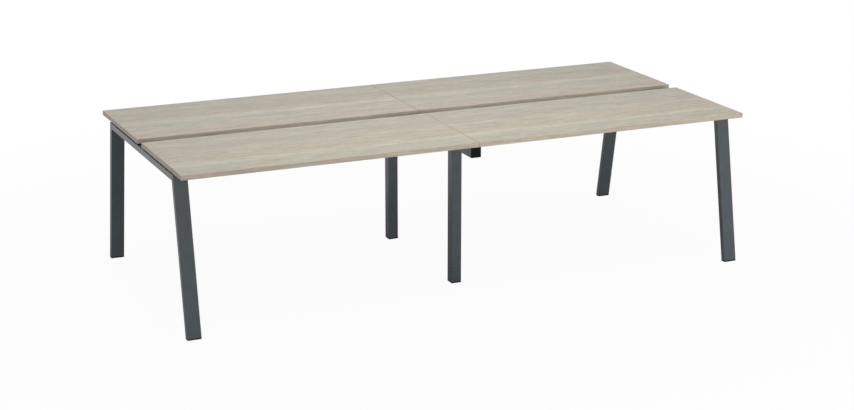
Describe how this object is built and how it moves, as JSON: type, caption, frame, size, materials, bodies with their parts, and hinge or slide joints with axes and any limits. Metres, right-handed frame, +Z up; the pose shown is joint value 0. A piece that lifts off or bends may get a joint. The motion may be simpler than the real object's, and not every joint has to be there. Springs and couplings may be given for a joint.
{
  "type": "benching desk",
  "caption": "Long back-to-back benching desk: oak-decor worktops with a cable gap between rows, on a steel frame with splayed end legs, upright middle legs and levelling feet.",
  "frame": {"origin": "on the floor, under the middle of the desk", "axes": "+X along the length of the desk, +Y from the front row to the rear row, +Z up"},
  "size_m": [2.8, 1.3046, 0.744],
  "materials": {
    "oak_decor": "matt melamine with a pale grey-beige oak grain",
    "oak_band": "matt edge banding in the same oak decor",
    "slate_powder_coat": "fine-textured matt slate powder coat",
    "black_plastic": "moulded matt black",
    "zinc_plate": "bright zinc plate"
  },
  "bodies": {
    "desk": {"worktop_front_left": "oak_decor", "edge_band_front_left_user": "oak_band", "edge_band_front_left_gap": "oak_band", "edge_band_front_left_end": "oak_band", "edge_band_front_left_seam": "oak_band", "worktop_front_right": "oak_decor", "edge_band_front_right_user": "oak_band", "edge_band_front_right_gap": "oak_band", "edge_band_front_right_end": "oak_band", "edge_band_front_right_seam": "oak_band", "worktop_rear_left": "oak_decor", "edge_band_rear_left_user": "oak_band", "edge_band_rear_left_gap": "oak_band", "edge_band_rear_left_end": "oak_band", "edge_band_rear_left_seam": "oak_band", "worktop_rear_right": "oak_decor", "edge_band_rear_right_user": "oak_band", "edge_band_rear_right_gap": "oak_band", "edge_band_rear_right_end": "oak_band", "edge_band_rear_right_seam": "oak_band", "end_rail_left": "slate_powder_coat", "end_leg_front_left": "slate_powder_coat", "stretcher_front_left": "slate_powder_coat", "end_leg_rear_left": "slate_powder_coat", "stretcher_rear_left": "slate_powder_coat", "end_rail_right": "slate_powder_coat", "end_leg_front_right": "slate_powder_coat", "stretcher_front_right": "slate_powder_coat", "end_leg_rear_right": "slate_powder_coat", "stretcher_rear_right": "slate_powder_coat", "middle_beam": "slate_powder_coat", "middle_leg_front": "slate_powder_coat", "beam_cap_front": "black_plastic", "spacer_front_left": "black_plastic", "foot_insert_front_left": "black_plastic", "spacer_front_middle": "black_plastic", "foot_insert_front_middle": "black_plastic", "spacer_front_right": "black_plastic", "foot_insert_front_right": "black_plastic", "middle_leg_rear": "slate_powder_coat", "beam_cap_rear": "black_plastic", "spacer_rear_left": "black_plastic", "foot_insert_rear_left": "black_plastic", "spacer_rear_middle": "black_plastic", "foot_insert_rear_middle": "black_plastic", "spacer_rear_right": "black_plastic", "foot_insert_rear_right": "black_plastic"},
    "foot_front_left": {"foot_pad_front_left": "black_plastic", "levelling_stud_front_left": "zinc_plate"},
    "foot_front_middle": {"foot_pad_front_middle": "black_plastic", "levelling_stud_front_middle": "zinc_plate"},
    "foot_front_right": {"foot_pad_front_right": "black_plastic", "levelling_stud_front_right": "zinc_plate"},
    "foot_rear_left": {"foot_pad_rear_left": "black_plastic", "levelling_stud_rear_left": "zinc_plate"},
    "foot_rear_middle": {"foot_pad_rear_middle": "black_plastic", "levelling_stud_rear_middle": "zinc_plate"},
    "foot_rear_right": {"foot_pad_rear_right": "black_plastic", "levelling_stud_rear_right": "zinc_plate"}
  },
  "joints": [
    {"name": "level_front_left", "type": "slide", "parent": "desk", "child": "foot_front_left", "axis": [0, 0, -1], "range_m": [0, 0.01]},
    {"name": "level_front_middle", "type": "slide", "parent": "desk", "child": "foot_front_middle", "axis": [0, 0, -1], "range_m": [0, 0.01]},
    {"name": "level_front_right", "type": "slide", "parent": "desk", "child": "foot_front_right", "axis": [0, 0, -1], "range_m": [0, 0.01]},
    {"name": "level_rear_left", "type": "slide", "parent": "desk", "child": "foot_rear_left", "axis": [0, 0, -1], "range_m": [0, 0.01]},
    {"name": "level_rear_middle", "type": "slide", "parent": "desk", "child": "foot_rear_middle", "axis": [0, 0, -1], "range_m": [0, 0.01]},
    {"name": "level_rear_right", "type": "slide", "parent": "desk", "child": "foot_rear_right", "axis": [0, 0, -1], "range_m": [0, 0.01]}
  ]
}
